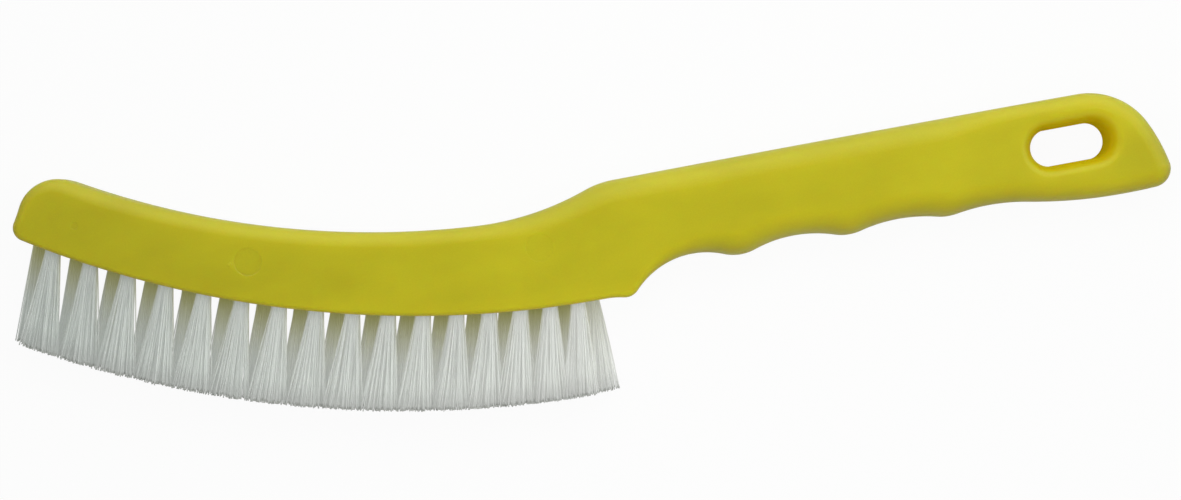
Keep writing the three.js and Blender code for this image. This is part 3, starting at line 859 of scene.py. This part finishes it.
def grown(value, low, high):
    """A value between 0 and 1 spread to another range"""
    return value * (high - low) + low


def uneven(roughness, height, spread):
    """A roughness that varies with the grain"""
    return grown(height, roughness - spread, roughness + spread)


def within(value):
    """A value held between 0 and 1"""
    return value.reckon("MAXIMUM", 0.0).reckon("MINIMUM", 1.0)


def let_light_in(shader, radius, scale):
    """Lets light go into the material and come out nearby"""
    shader.inputs["Subsurface Weight"].default_value = 1.0
    shader.inputs["Subsurface Radius"].default_value = radius
    shader.inputs["Subsurface Scale"].default_value = scale


def moulded_plastic(handle):
    material, tree, shader = finish("moulded_plastic")
    let_light_in(shader, (1.0, 0.6, 0.15), 7 * MM)
    tone, height = grain(tree, 80.0, 2600.0)
    # Painted shade and painted glow: deep in the slot's lip the plastic takes a darker, more orange colour,
    # glows a little and loses its gloss
    slot_shade_and_glow = attribute(tree, "slot_shade_and_glow")
    mottled = tone * (1 - FINE_SHARE) + height * FINE_SHARE
    colour = blended(tree, mottled, tuple(handle.deep_colour), tuple(handle.colour))
    colour = blended(tree, slot_shade_and_glow, colour, tuple(handle.slot_shade_and_glow_colour))
    plug(tree, shader.inputs["Base Color"], colour)
    plug(tree, shader.inputs["Specular IOR Level"], grown(slot_shade_and_glow, GLOSS, 0.0))
    painted_glow = blended(tree, slot_shade_and_glow, BLACK, tuple(handle.slot_shade_and_glow_colour))
    plug(tree, shader.inputs["Emission Color"], painted_glow)
    shader.inputs["Emission Strength"].default_value = SLOT_PAINTED_GLOW
    plug(tree, shader.inputs["Roughness"], uneven(handle.roughness, height, spread=0.06))
    bump = node(tree, "ShaderNodeBump", None, "Normal", Strength=0.12, Distance=0.05 * MM, Height=height)
    plug(tree, shader.inputs["Normal"], bump)
    return material


def nylon_filament(bristles):
    material, tree, shader = finish("nylon_filament", ior=1.53)
    let_light_in(shader, (1.0, 1.0, 1.0), 3 * MM)
    tone, height = grain(tree, 60.0, 900.0)
    mixed = attribute(tree, "shade") * SHADE_SHARE + tone * (1 - SHADE_SHARE)
    colour = blended(tree, mixed, tuple(bristles.shaded_colour), tuple(bristles.colour))
    # Painted shade: darker towards the toe, where less light reaches the tufts
    colour = blended(tree, attribute(tree, "to_toe"), colour, tuple(bristles.toe_painted_shade), "MULTIPLY")
    # Painted shade and painted bounce light: filaments near the middle of the width and near their roots,
    # in the shade of the upper row, take the olive root colour; the last lower tuft, which no upper tuft
    # shades, takes less of it
    _, _, level = components(tree, node(tree, "ShaderNodeTexCoord", out="Object"))
    off_middle = (level - (HANDLE_LOW.z + HANDLE_HIGH.z) / 2).reckon("ABSOLUTE")
    inner = within((off_middle - INNER_REACH) / -INNER_FADE)
    free = attribute(tree, "free")
    near_root = within(free * -ROOT_FADE + 1.0).reckon("POWER", ROOT_POWER)
    root_shade_mask = near_root * inner * attribute(tree, "root_shade_cover")
    colour = blended(tree, root_shade_mask, colour, tuple(bristles.root_painted_shade))
    colour = blended(tree, within((free - 1.0) * TIP_FADE + 1.0), colour, tuple(bristles.tip_colour))
    plug(tree, shader.inputs["Base Color"], colour)
    plug(tree, shader.inputs["Roughness"], uneven(bristles.roughness, height, spread=0.05))
    # Painted glow: the nylon gives off light in its own colour
    plug(tree, shader.inputs["Emission Color"], colour)
    shader.inputs["Emission Strength"].default_value = bristles.painted_glow
    shader.inputs["Specular IOR Level"].default_value = 0.3
    return material


def anchor_steel(anchors):
    material, tree, shader = finish("anchor_steel", metallic=1.0)
    tone, height = grain(tree, 300.0, 6000.0)
    bright = tuple(anchors.colour)
    dull = (*(channel * DULL_STEEL for channel in bright[:3]), 1.0)
    plug(tree, shader.inputs["Base Color"], blended(tree, tone, dull, bright))
    plug(tree, shader.inputs["Roughness"], uneven(anchors.roughness, height, spread=0.1))
    return material


def placed(name, mesh, material):
    """A new object in the scene"""
    piece = bpy.data.objects.new(name, mesh)
    bpy.context.scene.collection.objects.link(piece)
    if material:
        mesh.materials.append(material)
    return piece


def mouth_mesh(name, tufts, fans, free_root_shade, shift):
    """A point at the mouth of each hole of a row, with all that its filaments go by"""
    mesh = bpy.data.meshes.new(name)
    mouths = [(tuft.mouth.real, tuft.mouth.imag, tuft.height) for tuft in tufts]
    mesh.from_pydata(np.array(mouths) + shift, [], [])
    measures = {
        "reach": [tuft.reach for tuft in tufts],
        "slope": [tuft.slope for tuft in tufts],
        "fan_toe": fans[0],
        "fan_heel": fans[1],
        # share of the painted root shade that each tuft takes
        "root_shade_cover": [free_root_shade] + [1.0] * (len(tufts) - 1),
        "to_toe": np.linspace(0, 1, len(tufts)),
    }
    for key, values in measures.items():
        mesh.attributes.new(key, "FLOAT", "POINT").data.foreach_set("value", values)
    ways = {"out": [tuft.out for tuft in tufts], "side": [tuft.side for tuft in tufts]}
    for key, values in ways.items():
        flat = [number for way in values for number in (way.real, way.imag, 0.0)]
        mesh.attributes.new(key, "FLOAT_VECTOR", "POINT").data.foreach_set("vector", flat)
    return mesh


def become(piece, tree, values):
    """Turns a piece into the plain mesh that a node tree makes of it"""
    seedling = piece.data
    modifier = piece.modifiers.new(tree.name, "NODES")
    modifier.node_group = tree
    for socket in tree.interface.items_tree:
        if socket.name in values:
            modifier[socket.identifier] = values[socket.name]
    bpy.context.view_layer.update()
    graph = bpy.context.evaluated_depsgraph_get()
    mesh = bpy.data.meshes.new_from_object(piece.evaluated_get(graph), depsgraph=graph)
    piece.modifiers.remove(modifier)
    piece.data = mesh
    mesh.name = piece.name
    bpy.data.meshes.remove(seedling)


# Operators


class BRUSH_OT_mould_handle(Operator):
    """Mould the handle with its slot, tuft holes and mould marks"""

    bl_idname = "brush.mould_handle"
    bl_label = "Mould Handle"

    def execute(self, context):
        handle = context.scene.brush_handle
        outline, face_steps = handle_outline(handle)
        slot = slot_outline(handle, outline)
        shell = Shell()
        gap = range(face_steps)
        rings = add_slab(shell, outline, handle.width, outline.edge, gap=gap)
        slot_rings = add_slab(shell, slot, handle.width, (handle.width - SLOT_WAIST) / 2)
        marks = [add_mark(shell, *mark, handle.width / 2) for mark in MOULD_MARKS]
        shell.fill([rings[0], slot_rings[0], *marks], lambda x, y, z: (x, y))
        shell.fill([rings[-1], slot_rings[-1]], lambda x, y, z: (x, y), turned=True)
        wall = rings[EDGE_STEPS : len(rings) - EDGE_STEPS]
        ends = gap.stop + 1
        rim = wall[0][:ends]
        rim += [ring[gap.stop] for ring in wall[1:-1]]
        rim += wall[-1][:ends][::-1]
        rim += [ring[0] for ring in wall[-2:0:-1]]
        rows = tuft_rows(handle, context.scene.brush_bristles)
        mouths = [add_hole(shell, tuft, handle) for row in rows.values() for tuft in row]

        def unrolled(x, y, z):
            return (handle.face_radius * math.atan2(x, handle.face_radius - y), z)

        shell.fill([rim, *mouths], unrolled)
        mesh = shell.mesh("moulded_handle", handle_shift(outline, handle.width))
        # How deep into the slot's lip a point lies, which sets the painted shade and glow there
        slot_shade_and_glow = np.zeros(len(mesh.vertices))
        for i, ring in enumerate(slot_rings):
            deep = min(i, len(slot_rings) - 1 - i) / EDGE_STEPS
            slot_shade_and_glow[ring] = np.clip((deep - SLOT_SHADE_START) / SLOT_SHADE_DEPTH, 0, 1)
        mesh.attributes.new("slot_shade_and_glow", "FLOAT", "POINT").data.foreach_set("value", slot_shade_and_glow)
        piece = placed("moulded_handle", mesh, moulded_plastic(handle))
        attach(piece, BODY)
        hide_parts("handle")
        return {"FINISHED"}


class BRUSH_OT_plant_tufts(Operator):
    """Plant the nylon filaments of both rows"""

    bl_idname = "brush.plant_tufts"
    bl_label = "Plant Tufts"

    def execute(self, context):
        handle = context.scene.brush_handle
        bristles = context.scene.brush_bristles
        shift = handle_shift(handle_outline(handle)[0], handle.width)
        tree = tuft_tree()
        radius = bristles.filament_diameter / 2
        values = {
            "Filaments": bristles.filaments,
            "Filament radius": radius,
            "Hole radius": handle.hole_diameter / 2 - radius,
            "Cross fan": bristles.cross_fan,
            "Tip spread": TIP_SPREAD,
            "Trim error": TRIM_ERROR,
            "Bend": BEND,
            "Nylon": nylon_filament(bristles),
        }
        for row, (name, tufts) in enumerate(tuft_rows(handle, bristles).items()):
            free_fan = FREE_FAN if name == "lower" else bristles.fan
            fans = tuft_fans(tufts, TOE_FANS[name], bristles.fan, free_fan)
            # The last lower tuft, which no upper tuft shades, takes less painted root shade
            free_root_shade = FREE_ROOT_SHADE if name == "lower" else 1.0
            mouths = mouth_mesh(f"{name}_mouths", tufts, fans, free_root_shade, shift)
            piece = placed(f"nylon_tufts_{name}", mouths, None)
            become(piece, tree, {**values, "Seed": bristles.seed + ROW_SEED_STEP * row})
            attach(piece, BODY)
            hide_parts(f"bristles_{name}")
        return {"FINISHED"}


class BRUSH_OT_finish_anchors(Operator):
    """Give the wire anchors their steel"""

    bl_idname = "brush.finish_anchors"
    bl_label = "Finish Anchors"

    def execute(self, context):
        steel = anchor_steel(context.scene.brush_anchors)
        for name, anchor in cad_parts.items():
            if name.startswith("anchor_"):
                anchor.data.materials.clear()
                anchor.data.materials.append(steel)
        return {"FINISHED"}


class BRUSH_OT_light_stage(Operator):
    """Lay the floor and set up the light and the camera"""

    bl_idname = "brush.light_stage"
    bl_label = "Light Stage"

    def execute(self, context):
        stage = context.scene.brush_stage
        self.lay_floor(stage)
        self.light(context.scene, stage)
        self.set_camera(context.scene, stage)
        context.scene.view_settings.view_transform = "Standard"
        return {"FINISHED"}

    def lay_floor(self, stage):
        mesh = bpy.data.meshes.new("floor")
        corners = [(x * FLOOR_HALF, y * FLOOR_HALF, 0) for x, y in ((-1, -1), (1, -1), (1, 1), (-1, 1))]
        mesh.from_pydata(corners, [], [(0, 1, 2, 3)])
        material = bpy.data.materials.new("pale_floor")
        material.use_nodes = True
        tree = material.node_tree
        tree.nodes.clear()
        path = tree.nodes.new("ShaderNodeLightPath")
        seen = Field(tree, path.outputs["Is Camera Ray"]) * FLOOR_SEEN
        for way in ("Is Glossy Ray", "Is Transmission Ray"):
            seen = seen.reckon("MAXIMUM", Field(tree, path.outputs[way]) * FLOOR_MIRRORED)
        matt = node(tree, "ShaderNodeBsdfDiffuse", Color=tuple(stage.floor))
        white = node(tree, "ShaderNodeEmission", Color=WHITE, Strength=1.0)
        bright = tree.nodes.new("ShaderNodeMixShader")
        for socket, value in zip(bright.inputs, (seen, matt, white)):
            plug(tree, socket, value)
        out = tree.nodes.new("ShaderNodeOutputMaterial")
        tree.links.new(bright.outputs[0], out.inputs["Surface"])
        placed("floor", mesh, material)

    def light(self, scene, stage):
        world = bpy.data.worlds.new("studio")
        world.use_nodes = True
        scene.world = world
        tree = world.node_tree
        background = tree.nodes["Background"]
        x, y, z = components(tree, node(tree, "ShaderNodeTexCoord", out="Generated"))
        towards_side = within(x * SIDE[0] + y * SIDE[1])
        colour = blended(tree, towards_side, WHITE, tuple(stage.side_colour))
        plug(tree, background.inputs["Color"], colour)
        overhead = within(z).reckon("POWER", OVERHEAD_POWER)
        sky = grown(towards_side, stage.ambient, stage.ambient + stage.side)
        sky = sky - overhead * (stage.ambient * OVERHEAD_SHARE)
        camera = node(tree, "ShaderNodeLightPath", out="Is Camera Ray")
        plug(tree, background.inputs["Strength"], sky.reckon("MAXIMUM", camera))
        data = bpy.data.lights.new("soft_box", "AREA")
        data.size = SOFT_BOX_SIZE
        data.energy = stage.soft_power
        soft_box = bpy.data.objects.new("soft_box", data)
        soft_box.location = SOFT_BOX_PLACE
        soft_box.visible_camera = False
        soft_box.visible_glossy = False
        scene.collection.objects.link(soft_box)

    def set_camera(self, scene, stage):
        data = bpy.data.cameras.new("camera")
        data.lens = stage.lens
        data.sensor_width = SENSOR_WIDTH
        camera = bpy.data.objects.new("camera", data)
        middle = scene.brush_handle.width / 2
        camera.location = (
            HANDLE_HIGH.x - CAMERA_BEFORE_END,
            HANDLE_LOW.y + CAMERA_ABOVE_HEEL,
            middle + stage.camera_height,
        )
        camera.rotation_euler = (0, 0, stage.camera_turn)
        scene.collection.objects.link(camera)
        scene.camera = camera


class BRUSH_PT_brush(Panel):
    """Sizes, colours and steps of the brush"""

    bl_label = "Bicycle Cleaning Brush"
    bl_space_type = "VIEW_3D"
    bl_region_type = "UI"
    bl_category = "Brush"

    def draw(self, context):
        for operator, settings in STEPS:
            box = self.layout.box()
            box.operator(operator.bl_idname)
            group = getattr(context.scene, settings)
            for name in group.__annotations__:
                box.prop(group, name)


STEPS = (
    (BRUSH_OT_mould_handle, "brush_handle"),
    (BRUSH_OT_plant_tufts, "brush_bristles"),
    (BRUSH_OT_finish_anchors, "brush_anchors"),
    (BRUSH_OT_light_stage, "brush_stage"),
)
SETTINGS = {
    "brush_handle": HandleSettings,
    "brush_bristles": BristleSettings,
    "brush_anchors": AnchorSettings,
    "brush_stage": StageSettings,
}
CLASSES = (*SETTINGS.values(), *(operator for operator, _ in STEPS), BRUSH_PT_brush)


def register():
    for cls in CLASSES:
        bpy.utils.register_class(cls)
    for name, settings in SETTINGS.items():
        setattr(bpy.types.Scene, name, PointerProperty(type=settings))


def unregister():
    for name in SETTINGS:
        delattr(bpy.types.Scene, name)
    for cls in reversed(CLASSES):
        bpy.utils.unregister_class(cls)


def main():
    register()
    bpy.ops.brush.light_stage()
    bpy.ops.brush.mould_handle()
    bpy.ops.brush.plant_tufts()
    bpy.ops.brush.finish_anchors()


if __name__ == "__main__":
    main()
